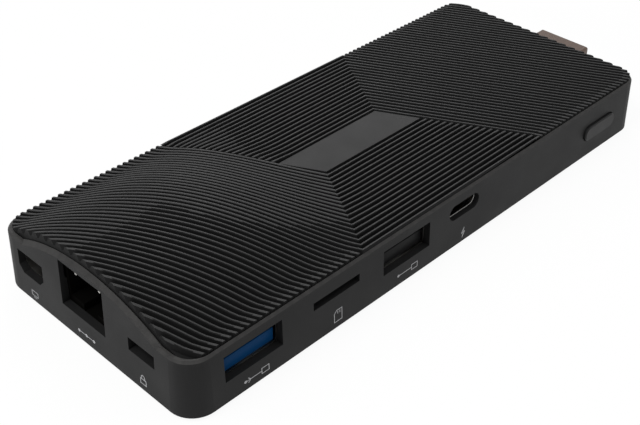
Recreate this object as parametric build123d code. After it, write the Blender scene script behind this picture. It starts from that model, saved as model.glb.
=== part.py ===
from build123d import *
import os
from math import cos, radians, sin, tan

# Stick computer with a display plug on one end, built as separate pieces.
# Millimetres, +Z up. The length runs along X towards the plug, and the side with the
# USB sockets faces -Y. The origin is the middle of the overall box, at the feet's soles.
# Places are given from the front end (the end with the network socket), from the socket
# side, and above the body's underside, and from_front, from_side and level turn them
# into model places.

# Body shell
body_length = 135.2
body_width = 54.8
wall_height = 12.0
rim_bevel = 0.45
bevel_angle = 45.0
corner_radius = 4.8
draft_angle = 2.2
wall = 2.0
side_rim = 0.5
end_rim = 1.0
ledge_height = 10.6
overrun = 1.0
fit_gap = 0.12
foot_height = 0.8

# Raised front part of the top, over the network socket
hump_rise = 5.9
hump_side_margin = 3.5
hump_flat_length = 21.0
hump_run = 36.0
hump_feather = 0.03
hump_station_count = 7
hump_lead_in_count = 2
gable_rise = 5.1
gable_side_margin = 6.1
gable_bevel = 0.8

# Ribbed cover and its plain badge plate
plate_thickness = 1.3
rib_height = 1.2
rib_width = 0.5
rib_pitch = 1.2434
rib_angle = 61.43
rib_end_inset = 1.3
rib_end_gap = 0.35
first_rib_offset = 5.35
badge_corner_x = 12.0
badge_half_height = 4.4
badge_gap = 0.1

# Bottom cover, feet and the posts that the screws go into
bottom_thickness = 1.4
foot_length = 16.0
foot_width = 6.0
foot_place_shares = ((0.36, 0.28), (0.36, -0.28), (-0.36, 0.28), (-0.36, -0.28))
post_radius = 2.5
post_root = 0.25
pilot_radius = 0.8
screw_clearance = 0.03
screw_head_radius = 1.5
screw_head_height = 0.8
cross_width = 0.5
cross_length = 1.2
bottom_screw_length = 2.6
board_screw_length = 1.8
front_post_inset = 5.2
end_post_inset = 5.3
far_front_post_inset = 14.0
near_post_share = 0.7175
far_post_share = 0.5

# Main board
board_bottom = 5.7
board_thickness = 1.0
board_edge_gap = 0.5
board_corner_radius = 2.0
notch_gap = 0.15

# USB type A sockets
usb_width = 13.1
usb_height = 5.4
usb_depth = 14.0
usb_wall = 0.3
usb_recess = 1.2
usb_bottom = 4.69
usb_tongue_width = 11.2
usb_tongue_thickness = 2.1
usb_tongue_lift = 0.45
usb_tongue_setback = 0.3
usb_contact_start = 1.6
usb_contact_length = 8.0
usb_contact_thickness = 0.15
usb_contact_width = 1.0
usb3_from_front = 14.4
usb3_contact_count = 5
usb2_length_share = 0.399
usb2_contact_count = 4

# USB type C socket
usbc_width = 9.0
usbc_height = 3.2
usbc_depth = 7.4
usbc_wall = 0.3
usbc_recess = 1.0
usbc_length_share = 0.527
usbc_tongue_width = 6.7
usbc_tongue_thickness = 0.7
usbc_tongue_setback = 0.6
usbc_contact_count = 12
usbc_contact_width = 0.25
usbc_contact_thickness = 0.08
usbc_contact_length = 4.0

# Memory card socket with its push-push slider
card_slot_length_share = 0.2567
card_slot_width = 11.9
card_slot_height = 1.7
card_slot_bottom = 7.35
card_base_width = 15.4
card_base_shift = 0.75
card_base_depth = 15.0
card_base_thickness = 0.6
card_recess = 2.15
card_sheet = 0.2
card_cover_height = 2.3
card_contact_count = 8
card_contact_width = 0.6
card_contact_length = 4.0
card_contact_thickness = 0.15
slider_width = 0.9
slider_length = 5.0
slider_height = 1.1
slider_gap = 0.2
slider_start = 4.0
spring_wire_radius = 0.07
spring_radius = 0.33
spring_turns = 9
spring_play = 0.1

# Network socket
jack_width_share = 0.5219
jack_width = 14.2
jack_height = 10.35
jack_depth = 15.0
jack_bottom = 4.85
jack_recess = 1.5
jack_mouth_width = 11.8
jack_mouth_height = 8.2
jack_mouth_depth = 12.5
jack_latch_width = 4.2
jack_latch_height = 1.6
jack_sheet = 0.2
jack_window_width = 12.8
jack_window_height = 10.0
jack_window_bottom = 5.38
jack_contact_count = 8
jack_contact_width = 0.45
jack_contact_pitch = 1.02
jack_contact_length = 7.0
jack_contact_rise = 1.6

# Small display socket
display_width_share = 0.8157
display_width = 7.6
display_height = 4.7
display_depth = 7.6
display_wall = 0.3
display_recess = 1.2
display_bottom = 5.48
display_corner = 1.3
display_tongue_width = 5.0
display_tongue_thickness = 0.9
display_tongue_setback = 0.8
display_contact_count = 10
display_contact_width = 0.28
display_contact_thickness = 0.1
display_contact_length = 4.0

# Lock slot and the steel plate behind it
lock_width_share = 0.219
lock_width = 7.0
lock_height = 2.8
lock_bottom = 7.03
lock_plate_thickness = 1.0
lock_plate_margin = 2.6
lock_foot_length = 2.4

# Display plug on the far end
plug_reach = 10.8
plug_root = 6.5
plug_width = 13.9
plug_height = 4.45
plug_bottom = 3.45
plug_corner_width = 1.7
plug_corner_height = 1.5
plug_edge_radius = 0.5
plug_wall = 0.35
plug_window_gap = 0.15
plug_face_setback = 0.6
plug_mouth_width = 10.6
plug_mouth_height = 1.5
plug_mouth_depth = 7.5
plug_contact_count = 9
plug_contact_width = 0.45
plug_contact_thickness = 0.12
plug_contact_length = 5.5
plug_holder_depth = 4.0
plug_holder_margin = 0.6

# Power button and its switch
button_length_share = 0.8831
button_width = 11.4
button_height = 3.5
button_level = 5.95
button_proud = 0.6
button_hole_gap = 0.2
button_edge_radius = 0.25
button_flange_margin = 0.8
button_flange_thickness = 0.6
button_flange_gap = 0.1
button_travel = 0.35
button_stem_radius = 1.0
button_stem_length = 0.6
button_touch_gap = 0.02
switch_width = 7.0
switch_height = 3.4
switch_depth = 3.0
switch_plunger_width = 2.6
switch_plunger_height = 1.5
switch_plunger_reach = 0.9
switch_plunger_root = 1.0
switch_plunger_gap = 0.05
switch_plunger_play = 0.15
switch_sheet = 0.2

# Chips and other pieces on the board, and the plate that carries heat to the cover
processor_size_shares = (0.1627, 0.585)
processor_height = 1.2
processor_place_share = (-0.02, 0.47)
pad_size_shares = (0.148, 0.532)
pad_height = 0.5
spreader_size_shares = (0.4586, 0.798)
memory_size_shares = (0.0592, 0.29)
memory_height = 1.0
memory_place_shares = ((-0.15, 0.63), (-0.15, 0.31), (0.11, 0.63), (0.11, 0.31))
storage_size_shares = (0.0962, 0.306)
storage_height = 1.0
storage_place_share = (0.12, 0.32)
regulator_size_shares = (0.037, 0.133)
regulator_height = 0.9
regulator_place_shares = ((0.27, 0.47), (0.27, 0.69), (0.33, 0.12))
coil_size_shares = (0.0385, 0.138)
coil_height = 2.4
coil_bevel = 0.5
coil_place_shares = ((0.36, 0.53), (0.28, 0.35), (0.28, 0.515), (0.19, -0.025))
capacitor_size_shares = (0.0259, 0.0745)
capacitor_height = 1.9
capacitor_place_shares = (
    (0.24, 0.004), (0.24, -0.127), (0.02, 0.033), (0.07, 0.033), (-0.35, 0.12), (0.4, 0.674),
)
crystal_size_shares = (0.0237, 0.0665)
crystal_height = 0.8
crystal_place_shares = ((-0.19, 0.12), (-0.29, 0.718))
network_chip_size_shares = (0.0444, 0.16)
network_chip_height = 0.9
network_chip_place_share = (-0.29, 0.587)
transformer_size_shares = (0.0629, 0.332)
transformer_height = 2.6
transformer_place_share = (-0.3, 0.295)
radio_size_shares = (0.1183, 0.319)
radio_thickness = 0.8
radio_place_share = (0.27, 0.762)
radio_shield_margin = 1.0
radio_shield_height = 1.5
radio_shield_sheet = 0.2
antenna_length = 22.0
antenna_height = 3.2
antenna_thickness = 0.4
antenna_wall_gap = 0.15
antenna_place_shares = (-0.02, 0.27)
lead_radius = 0.4
lead_side_gap = 1.0
lead_pitch = 1.2
lead_turn_reach = 3.0
lead_landing_share = 0.33
lead_touch_gap = 0.1
battery_radius_share = 0.166
battery_height = 2.0
battery_place_share = (0.35, 0.179)
battery_clip_thickness = 0.25
battery_clip_width = 4.0

# Places that follow from the sizes
flare = wall_height * tan(radians(draft_angle))
button_flare = (wall_height - button_level) * tan(radians(draft_angle))
front_x = -(body_length + plug_reach - flare) / 2
body_x = front_x + body_length / 2
body_y = (button_flare + button_proud - flare) / 2
side_y = body_y - body_width / 2
valley_height = ledge_height + plate_thickness
crest_height = valley_height + rib_height
board_top = board_bottom + board_thickness
turn_angle = (180 - rib_angle) / 2
hump_half_width = body_width / 2 - hump_side_margin
gable_half_width = body_width / 2 - gable_side_margin
deck_start = usb_recess + usb_depth
deck_width = body_width - wall - deck_start
end_post = body_length - end_post_inset
near_post_from_front = (front_post_inset, body_length * near_post_share, end_post)
far_post_from_front = (far_front_post_inset, body_length * far_post_share, end_post)
usb2_from_front = body_length * usb2_length_share
usbc_from_front = body_length * usbc_length_share
card_slot_from_front = body_length * card_slot_length_share
button_from_front = body_length * button_length_share
jack_from_side = body_width * jack_width_share
display_from_side = body_width * display_width_share
lock_from_side = body_width * lock_width_share
switch_plunger_room = button_travel + switch_plunger_play
radio_length = body_length * radio_size_shares[0]
radio_width = deck_width * radio_size_shares[1]
battery_radius = deck_width * battery_radius_share
LOW = (Align.CENTER, Align.CENTER, Align.MIN)
FROM_MOUTH = (Align.CENTER, Align.MIN, Align.MIN)


def from_front(distance):
    return front_x + distance


def from_side(distance):
    return side_y + distance


def level(height):
    return foot_height + height


def place_of(share):
    """A place on the board, from shares of the body's length and width about its middle."""
    return body_x + share[0] * body_length, body_y + share[1] * body_width


def block(length, width, height, x, y, z):
    return Pos(x, y, z) * Box(length, width, height, align=LOW)


def prism(sketch, bottom, height):
    return Pos(0, 0, bottom) * extrude(sketch, height)


def side_port(distance, recess, bottom):
    """The frame of a socket in the long side: mouth at its origin, facing -Y."""
    return Location((from_front(distance), from_side(recess), level(bottom)))


def front_port(distance, recess, bottom):
    """The same frame turned to the front end, so that the mouth faces -X."""
    return Location((from_front(recess), from_side(distance), level(bottom)), (0, 0, -90))


def mouth_block(width, depth, height, y=0, z=0, x=0):
    """A box that starts at y and runs into the body, in a socket's frame."""
    return Pos(x, y, z) * Box(width, depth, height, align=FROM_MOUTH)


def row(piece, count, pitch):
    """Copies of a small piece side by side along X, centred."""
    start = -(count - 1) * pitch / 2
    return [Pos(start + number * pitch, 0, 0) * piece for number in range(count)]


def body_outline(end_inset, side_inset):
    radius = corner_radius - min(end_inset, side_inset)
    sketch = RectangleRounded(body_length - 2 * end_inset, body_width - 2 * side_inset, radius)
    return Pos(body_x, body_y) * sketch


# The hump of the top


def hump_section(x, share, drop):
    """The hump's cross-section at x, lowered by drop, with its rise scaled by share."""
    base = level(crest_height) - drop
    floor = level(ledge_height) - overrun
    near = body_y - hump_half_width
    far = body_y + hump_half_width
    crown = base + hump_feather + hump_rise * share
    sides = Polyline((x, near, base), (x, near, floor), (x, far, floor), (x, far, base))
    crest = ThreePointArc((x, near, base), (x, body_y, crown), (x, far, base))
    return make_face(sides + crest)


def hump(drop):
    """The hump as a solid: level from the front end, then an even S-curve down."""
    step = hump_run / hump_station_count
    level_end = hump_flat_length - hump_lead_in_count * step
    level_part = extrude(hump_section(from_front(-overrun), 1, drop), level_end + overrun, dir=(1, 0, 0))
    sections = []
    for number in range(-hump_lead_in_count, hump_station_count + 1):
        part_way = max(number, 0) / hump_station_count
        share = 1 - part_way * part_way * (3 - 2 * part_way)
        sections.append(hump_section(from_front(hump_flat_length + number * step), share, drop))
    return level_part + loft(sections)


# Ribs of the cover, in plan about the body's middle


def corner_of(number):
    """Where a rib of the socket side's half turns, on the line from the badge's corner."""
    down = first_rib_offset + number * rib_pitch
    along = badge_corner_x + (down - badge_half_height) / tan(radians(turn_angle))
    return -along, -down


def rib_run_end(down):
    """Where a level rib stops, short of the first slanted rib of the other half."""
    first_x = -corner_of(0)[0]
    reach = (first_rib_offset + down) / tan(radians(rib_angle))
    return first_x + reach - (rib_width / 2 + rib_end_gap) / sin(radians(rib_angle))


def rib_shape(number, turned):
    """One rib in plan: a slanted strip, with a level strip after its corner if turned."""
    x, y = corner_of(number)
    half = rib_width / 2
    slant = radians(rib_angle)
    travel = (body_width / 2 + overrun - y) / sin(slant)
    end_x = x - travel * cos(slant)
    end_y = y + travel * sin(slant)
    across_x = half * sin(slant)
    across_y = half * cos(slant)
    if not turned:
        return Polygon(
            (x + across_x, y + across_y), (end_x + across_x, end_y + across_y),
            (end_x - across_x, end_y - across_y), (x - across_x, y - across_y), align=None,
        )
    mitre_x = half / tan(radians(turn_angle))
    return Polygon(
        (x + mitre_x, y + half), (end_x + across_x, end_y + across_y),
        (end_x - across_x, end_y - across_y), (x - mitre_x, y - half),
        (rib_run_end(half - y), y - half), (rib_run_end(-half - y), y + half), align=None,
    )


def rib_shapes():
    half_width = body_width / 2 - side_rim - fit_gap
    limit = body_length / 2 * sin(radians(rib_angle)) + half_width * cos(radians(rib_angle))
    shapes = []
    number = 0
    while True:
        x, y = corner_of(number)
        if -x * sin(radians(rib_angle)) - y * cos(radians(rib_angle)) > limit:
            break
        shapes.append(rib_shape(number, rib_width / 2 - y <= half_width))
        number += 1
    middle = Pos(body_x, body_y)
    return [middle * shape for shape in shapes] + [middle * Rot(0, 0, 180) * shape for shape in shapes]


def badge_outline(grow):
    """The badge's parallelogram, widened by grow on each side."""
    half = badge_half_height + grow
    lean = half / tan(radians(rib_angle))
    side = badge_corner_x + badge_half_height / tan(radians(rib_angle)) + grow / sin(radians(rib_angle))
    shape = Polygon(
        (-side + lean, -half), (side + lean, -half), (side - lean, half), (-side - lean, half),
        align=None,
    )
    return Pos(body_x, body_y) * shape


def make_ribbed_cover():
    """The top cover: a plate that follows the hump, with a swirl of ribs round the badge."""
    floor = level(ledge_height)
    tall = rib_height + plate_thickness + hump_rise + overrun
    inset_side = side_rim + fit_gap
    outline = body_outline(end_rim + fit_gap, inset_side)
    rib_root = floor + plate_thickness / 2
    strips = Part() + [prism(shape, rib_root, tall) for shape in rib_shapes()]
    strips &= prism(body_outline(rib_end_inset, inset_side), floor, tall)
    raised = hump(rib_height) & prism(outline, floor, tall)
    crest = prism(outline, floor, crest_height - ledge_height) + hump(0)
    cover = prism(outline, floor, plate_thickness) + raised + strips
    cover &= crest
    cover -= hump(rib_height + plate_thickness)
    return cover - prism(badge_outline(badge_gap), level(valley_height), tall)


def make_badge():
    """A bare plate between the ribs, level with their crests."""
    return prism(badge_outline(0), level(valley_height), rib_height)


# Housing and bottom cover


def make_gable():
    """The front wall's raised part, under the end of the hump."""
    near = -gable_half_width
    far = gable_half_width
    sides = Polyline((0, near, 0), (0, near, -overrun), (0, far, -overrun), (0, far, 0))
    crest = ThreePointArc((0, near, 0), (0, 0, gable_rise), (0, far, 0))
    solid = extrude(make_face(sides + crest), end_rim + wall, dir=(1, 0, 0))
    arc = solid.edges().filter_by(GeomType.CIRCLE).sort_by(Axis.X)[0]
    solid = chamfer(arc, gable_bevel)
    return Location((front_x, body_y, level(wall_height)), (0, draft_angle, 0)) * solid


def post_places():
    """The screw posts' centres, beside the long walls."""
    near = from_side(wall - post_root + post_radius)
    far = from_side(body_width - wall + post_root - post_radius)
    places = [(from_front(x), near) for x in near_post_from_front]
    return places + [(from_front(x), far) for x in far_post_from_front]


def at_posts(piece, height):
    return [Pos(x, y, level(height)) * piece for x, y in post_places()]


def wall_windows():
    """Everything that is cut through the housing's walls."""
    long = wall + flare + 2 * overrun
    usb = mouth_block(usb_width + 2 * fit_gap, long, usb_height + 2 * fit_gap, -overrun - flare, -fit_gap)
    usbc_sketch = SlotOverall(usbc_width + 2 * fit_gap, usbc_height + 2 * fit_gap)
    usbc = Pos(0, -overrun - flare, usbc_height / 2) * (Rot(-90, 0, 0) * extrude(usbc_sketch, long))
    card = mouth_block(card_slot_width, long, card_slot_height, -overrun - flare)
    button_sketch = SlotOverall(button_width + 2 * button_hole_gap, button_height + 2 * button_hole_gap)
    button = Pos(0, -overrun - flare, 0) * (Rot(-90, 0, 0) * extrude(button_sketch, long))
    jack = mouth_block(jack_window_width, long, jack_window_height, -overrun - flare)
    display = Pos(0, -overrun - flare, 0) * display_section(-fit_gap, long)
    lock = mouth_block(lock_width, long, lock_height, -overrun - flare)
    jack_room = mouth_block(
        jack_width + 2 * jack_sheet + 2 * fit_gap, long, jack_height + jack_sheet + 2 * fit_gap,
        -fit_gap, -fit_gap,
    )
    plug_place = (from_front(body_length - long), from_side(body_width / 2), level(plug_bottom))
    plug_room = Location(plug_place, (0, 0, 90))
    return [
        side_port(usb3_from_front, 0, usb_bottom) * usb,
        side_port(usb2_from_front, 0, usb_bottom) * usb,
        side_port(usbc_from_front, 0, board_top) * usbc,
        side_port(card_slot_from_front, 0, card_slot_bottom) * card,
        side_port(button_from_front, 0, button_level) * button,
        front_port(jack_from_side, 0, jack_window_bottom) * jack,
        front_port(display_from_side, 0, display_bottom) * display,
        front_port(lock_from_side, 0, lock_bottom) * lock,
        front_port(jack_from_side, jack_recess, jack_bottom) * jack_room,
        plug_room * plug_section(-plug_window_gap, long + overrun + flare),
    ]


def make_housing():
    """The shell: drafted walls, bevelled rim, ledge for the ribbed cover, screw posts."""
    base = RectangleRounded(body_length + 2 * flare, body_width + 2 * flare, corner_radius + flare)
    rim = RectangleRounded(body_length, body_width, corner_radius)
    middle = Pos(body_x, body_y, level(0))
    solid = middle * extrude(base, wall_height, taper=draft_angle)
    solid += Pos(body_x, body_y, level(wall_height)) * extrude(rim, rim_bevel, taper=bevel_angle)
    solid += make_gable()
    tall = wall_height + gable_rise + overrun
    solid -= prism(body_outline(end_rim, side_rim), level(ledge_height), tall)
    solid -= prism(body_outline(wall, wall), level(0) - overrun, ledge_height + 2 * overrun)
    post = Cylinder(post_radius, board_bottom - bottom_thickness, align=LOW)
    pilot = Cylinder(pilot_radius, board_bottom - bottom_thickness, align=LOW)
    solid += at_posts(post, bottom_thickness)
    solid -= at_posts(pilot, bottom_thickness)
    return solid - wall_windows()


def make_bottom_cover():
    plate = prism(body_outline(wall + fit_gap, wall + fit_gap), level(0), bottom_thickness)
    hole = Cylinder(pilot_radius + screw_clearance, bottom_thickness, align=LOW)
    recess = Cylinder(screw_head_radius + fit_gap, screw_head_height, align=LOW)
    return plate - at_posts(hole, 0) - at_posts(recess, 0)


def make_feet():
    foot = extrude(SlotOverall(foot_length, foot_width), foot_height)
    return [Pos(*place_of(share), 0) * foot for share in foot_place_shares]


def screw(length):
    """A screw whose head bears at its origin, with the shank pointing down."""
    head = Cylinder(screw_head_radius, screw_head_height, align=LOW)
    cut = Pos(0, 0, screw_head_height / 2) * Box(cross_length, cross_width, screw_head_height, align=LOW)
    cross = cut + Rot(0, 0, 90) * cut
    shank = Pos(0, 0, -length) * Cylinder(pilot_radius - screw_clearance, length, align=LOW)
    return head - cross + shank


def make_bottom_screws():
    return at_posts(Rot(180, 0, 0) * screw(bottom_screw_length), screw_head_height)


def make_board_screws():
    return at_posts(screw(board_screw_length + board_thickness), board_top)


# Board


def make_board():
    """The main board, notched round the sunken sockets, the switch and the plug."""
    inset = wall + board_edge_gap
    radius = board_corner_radius
    sketch = RectangleRounded(body_length - 2 * inset, body_width - 2 * inset, radius)
    board = prism(Pos(body_x, body_y) * sketch, level(board_bottom), board_thickness)
    depth = usb_recess + usb_depth + notch_gap
    usb = mouth_block(usb_width + 2 * notch_gap, depth, board_thickness)
    switch_room = switch_start() + switch_depth + notch_gap
    switch = mouth_block(switch_width + 2 * notch_gap, switch_room, board_thickness)
    flange_room = switch_start()
    flange_width = button_width + 2 * button_flange_margin + 2 * notch_gap
    flange = mouth_block(flange_width, flange_room, board_thickness)
    jack_room = jack_width + 2 * jack_sheet + 2 * notch_gap
    jack = mouth_block(jack_room, jack_recess + jack_depth + notch_gap, board_thickness)
    display_room = display_recess + display_depth + notch_gap
    display = mouth_block(display_width + 2 * notch_gap, display_room, board_thickness)
    plug_depth = wall + plug_root + plug_holder_depth + notch_gap
    plug = block(
        plug_depth, plug_width + 2 * plug_holder_margin + 2 * notch_gap, board_thickness,
        from_front(body_length - plug_depth / 2), from_side(body_width / 2), level(board_bottom),
    )
    board -= [
        side_port(usb3_from_front, 0, board_bottom) * usb,
        side_port(usb2_from_front, 0, board_bottom) * usb,
        side_port(button_from_front, 0, board_bottom) * switch,
        side_port(button_from_front, 0, board_bottom) * flange,
        front_port(jack_from_side, 0, board_bottom) * jack,
        front_port(display_from_side, 0, board_bottom) * display,
        plug,
    ]
    hole = Cylinder(pilot_radius + screw_clearance, board_thickness, align=LOW)
    return board - at_posts(hole, board_bottom)


# Sockets, each in its own frame


def make_usb_shell():
    outer = mouth_block(usb_width, usb_depth, usb_height)
    inner = mouth_block(
        usb_width - 2 * usb_wall, usb_depth - usb_wall, usb_height - 2 * usb_wall, 0, usb_wall,
    )
    return outer - inner


def usb_tongue_top():
    return usb_wall + usb_tongue_lift + usb_tongue_thickness


def make_usb_tongue():
    """The insulator: a back block and the tongue that carries the contacts."""
    room = usb_depth - usb_wall
    root = room - usb_tongue_setback - usb_contact_length
    bottom = usb_wall + usb_tongue_lift
    tongue = mouth_block(
        usb_tongue_width, room - usb_tongue_setback, usb_tongue_thickness, usb_tongue_setback, bottom,
    )
    back = mouth_block(
        usb_width - 2 * usb_wall, root, usb_height - 2 * usb_wall, room - root, usb_wall,
    )
    return tongue + back


def make_usb_contacts(count):
    length = usb_tongue_setback + usb_contact_length - usb_contact_start
    strip = mouth_block(
        usb_contact_width, length, usb_contact_thickness, usb_contact_start, usb_tongue_top(),
    )
    return row(strip, count, usb_tongue_width / count)


def usbc_section(inset, depth):
    """The rounded slot section of the type C socket, shrunk by inset."""
    sketch = SlotOverall(usbc_width - 2 * inset, usbc_height - 2 * inset)
    return Pos(0, 0, usbc_height / 2) * (Rot(-90, 0, 0) * extrude(sketch, depth))


def make_usbc_shell():
    return usbc_section(0, usbc_depth) - usbc_section(usbc_wall, usbc_depth - usbc_wall)


def make_usbc_tongue():
    room = usbc_depth - usbc_wall
    bottom = (usbc_height - usbc_tongue_thickness) / 2
    tongue = mouth_block(
        usbc_tongue_width, room - usbc_tongue_setback, usbc_tongue_thickness, usbc_tongue_setback, bottom,
    )
    root = room - usbc_tongue_setback - usbc_contact_length
    back = Pos(0, room - root, 0) * usbc_section(usbc_wall, root)
    return tongue + back


def make_usbc_contacts():
    middle = usbc_height / 2
    lift = usbc_tongue_thickness / 2
    start = 2 * usbc_tongue_setback
    length = usbc_contact_length - usbc_tongue_setback
    pitch = usbc_tongue_width / usbc_contact_count
    pieces = []
    for bottom in (middle + lift, middle - lift - usbc_contact_thickness):
        strip = mouth_block(usbc_contact_width, length, usbc_contact_thickness, start, bottom)
        pieces += row(strip, usbc_contact_count, pitch)
    return pieces


def display_section(inset, depth):
    """The small display socket's section: a box with its lower corners cut off."""
    half = display_width / 2 - inset
    low = inset
    high = display_height - inset
    cut = display_corner - inset / 2
    sketch = Polygon(
        (half, low + cut), (half, high), (-half, high),
        (-half, low + cut), (-half + cut, low), (half - cut, low),
        align=None,
    )
    face = Plane(origin=(0, 0, 0), x_dir=(1, 0, 0), z_dir=(0, -1, 0)) * sketch
    return extrude(face, depth, dir=(0, 1, 0))


def make_display_shell():
    return display_section(0, display_depth) - display_section(display_wall, display_depth - display_wall)


def make_display_tongue():
    room = display_depth - display_wall
    bottom = (display_height - display_tongue_thickness) / 2
    root = room - display_tongue_setback - display_contact_length
    tongue = mouth_block(
        display_tongue_width, room - display_tongue_setback, display_tongue_thickness,
        display_tongue_setback, bottom,
    )
    return tongue + Pos(0, room - root, 0) * display_section(display_wall, root)


def make_display_contacts():
    bottom = (display_height - display_tongue_thickness) / 2 - display_contact_thickness
    length = display_contact_length - display_tongue_setback
    strip = mouth_block(
        display_contact_width, length, display_contact_thickness, 2 * display_tongue_setback, bottom,
    )
    return row(strip, display_contact_count, display_tongue_width / display_contact_count)


def make_jack_housing():
    """The network socket's moulding, open at the mouth, with the latch's channel below."""
    outer = mouth_block(jack_width, jack_depth, jack_height)
    bottom = (jack_height - jack_mouth_height + jack_latch_height) / 2
    mouth = mouth_block(jack_mouth_width, jack_mouth_depth, jack_mouth_height, 0, bottom)
    latch = mouth_block(jack_latch_width, jack_mouth_depth, jack_latch_height, 0, bottom - jack_latch_height)
    return outer - mouth - latch


def make_jack_shield():
    """A thin metal sheet over the top and both sides of the moulding."""
    outer = mouth_block(jack_width + 2 * jack_sheet, jack_depth, jack_height + jack_sheet)
    return outer - mouth_block(jack_width, jack_depth, jack_height)


def make_jack_contacts():
    """Springy contact strips that rise from the roof of the mouth towards the back."""
    top = (jack_height + jack_mouth_height + jack_latch_height) / 2
    start = jack_mouth_depth - jack_contact_length
    wire = jack_contact_width / 2
    sketch = Polygon(
        (start, top), (start + wire, top), (jack_mouth_depth, top - jack_contact_rise),
        (jack_mouth_depth, top - jack_contact_rise - wire), align=None,
    )
    face = Plane(origin=(-wire, 0, 0), x_dir=(0, 1, 0), z_dir=(1, 0, 0)) * sketch
    strip = extrude(face, jack_contact_width, dir=(1, 0, 0))
    return row(strip, jack_contact_count, jack_contact_pitch)


def make_lock_plate():
    """A steel angle behind the lock slot: an upright with the slot, and a foot."""
    height = lock_bottom + lock_height + lock_plate_margin / 2 - board_top
    height = min(height, ledge_height - board_top - fit_gap)
    width = lock_width + 2 * lock_plate_margin
    upright = mouth_block(width, lock_plate_thickness, height)
    slot = mouth_block(lock_width, lock_plate_thickness, lock_height, 0, lock_bottom - board_top)
    foot = mouth_block(
        lock_width, lock_foot_length, lock_bottom - board_top, lock_plate_thickness,
    )
    return upright - slot + foot


# Memory card socket


def make_card_base():
    """The card socket's tray, with a wall at its back."""
    tray = mouth_block(card_base_width, card_base_depth, card_base_thickness, 0, 0, card_base_shift)
    inner = card_cover_height - card_sheet
    back = mouth_block(
        card_base_width - 2 * card_sheet, card_sheet * 2, inner,
        card_base_depth - card_sheet * 2, 0, card_base_shift,
    )
    return tray + back


def make_card_cover():
    """The bent sheet over the card socket: a top and two sides."""
    top = mouth_block(
        card_base_width, card_base_depth, card_sheet, 0, card_cover_height - card_sheet, card_base_shift,
    )
    side_height = card_cover_height - card_sheet - card_base_thickness
    side = mouth_block(card_sheet, card_base_depth, side_height, 0, card_base_thickness)
    half = (card_base_width - card_sheet) / 2
    return top + [Pos(card_base_shift + half, 0, 0) * side, Pos(card_base_shift - half, 0, 0) * side]


def make_card_contacts():
    start = card_base_depth - card_contact_length - overrun
    strip = mouth_block(
        card_contact_width, card_contact_length, card_contact_thickness, start, card_base_thickness,
    )
    return row(strip, card_contact_count, card_slot_width / (card_contact_count + 1))


def slider_x():
    wall_inside = card_base_shift + card_base_width / 2 - card_sheet
    return wall_inside - slider_gap - slider_width / 2


def make_card_slider():
    """The runner that the card's edge pushes back, with a hook across the card's lane."""
    bottom = card_base_thickness + slider_gap / 2
    runner = mouth_block(slider_width, slider_length, slider_height, slider_start, bottom)
    hook = mouth_block(slider_width, slider_width, slider_height, slider_start + slider_length / 2, bottom)
    runner += Pos(-slider_width / 2, 0, 0) * hook
    return Pos(slider_x(), 0, 0) * runner


def make_card_spring():
    """The slider's return spring, between its back and the tray's wall."""
    start = slider_start + slider_length + spring_wire_radius + spring_play / 2
    end = card_base_depth - 2 * card_sheet - spring_wire_radius - spring_play / 2
    length = end - start
    centre = (slider_x(), start, card_base_thickness + slider_gap / 2 + slider_height / 2)
    path = Helix(length / spring_turns, length, spring_radius, center=centre, direction=(0, 1, 0))
    wire = Plane(origin=path @ 0, z_dir=path % 0) * Circle(spring_wire_radius)
    return sweep(wire, path=path, is_frenet=True)


# Display plug


def plug_section(inset, depth):
    """The plug's section, shrunk by inset: a box with its lower corners cut off."""
    half = plug_width / 2 - inset
    low = inset
    high = plug_height - inset
    cut_x = plug_corner_width - inset / 2
    cut_z = plug_corner_height - inset / 2
    sketch = Polygon(
        (half, low + cut_z), (half, high), (-half, high),
        (-half, low + cut_z), (-half + cut_x, low), (half - cut_x, low),
        align=None,
    )
    sketch = fillet(sketch.vertices(), max(plug_edge_radius - inset, plug_wall / 2))
    face = Plane(origin=(0, 0, 0), x_dir=(1, 0, 0), z_dir=(0, -1, 0)) * sketch
    return extrude(face, depth, dir=(0, -1, 0))


def plug_frame():
    """The plug's frame: -Y of the frame is the way out of the body, from the shell's root."""
    x = from_front(body_length - wall - plug_root)
    return Location((x, from_side(body_width / 2), level(plug_bottom)), (0, 0, 90))


def plug_length():
    return plug_root + wall + plug_reach


def make_plug_shell():
    length = plug_length()
    return plug_frame() * (plug_section(0, length) - plug_section(plug_wall, length))


def make_plug_insulator():
    """The plug's core, with the mouth that the contacts line."""
    length = plug_length() - plug_face_setback
    core = plug_section(plug_wall, length)
    bottom = (plug_height - plug_mouth_height) / 2
    mouth = Box(plug_mouth_width, plug_mouth_depth, plug_mouth_height, align=FROM_MOUTH)
    mouth = Pos(0, -length, bottom) * mouth
    return plug_frame() * (core - mouth)


def make_plug_contacts():
    start = -(plug_length() - plug_face_setback) + plug_face_setback
    bottom = (plug_height - plug_mouth_height) / 2
    top = bottom + plug_mouth_height - plug_contact_thickness
    pieces = []
    for height in (bottom, top):
        strip = mouth_block(plug_contact_width, plug_contact_length, plug_contact_thickness, start, height)
        pieces += row(strip, plug_contact_count, plug_mouth_width / plug_contact_count)
    return [plug_frame() * piece for piece in pieces]


def make_plug_holder():
    """The moulded block on the board's edge that grips the plug's root."""
    width = plug_width + 2 * plug_holder_margin
    height = plug_height + 2 * plug_holder_margin
    holder = Pos(0, 0, -plug_holder_margin) * mouth_block(width, plug_holder_depth, height)
    return plug_frame() * holder


# Power button and switch


def button_face():
    """How far the button's face is from the wall's top edge, along Y."""
    return -button_flare - button_proud


def flange_start():
    return wall + button_flange_gap


def flange_end():
    return flange_start() + button_flange_thickness


def switch_start():
    return flange_end() + button_stem_length + button_touch_gap + switch_plunger_reach


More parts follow.
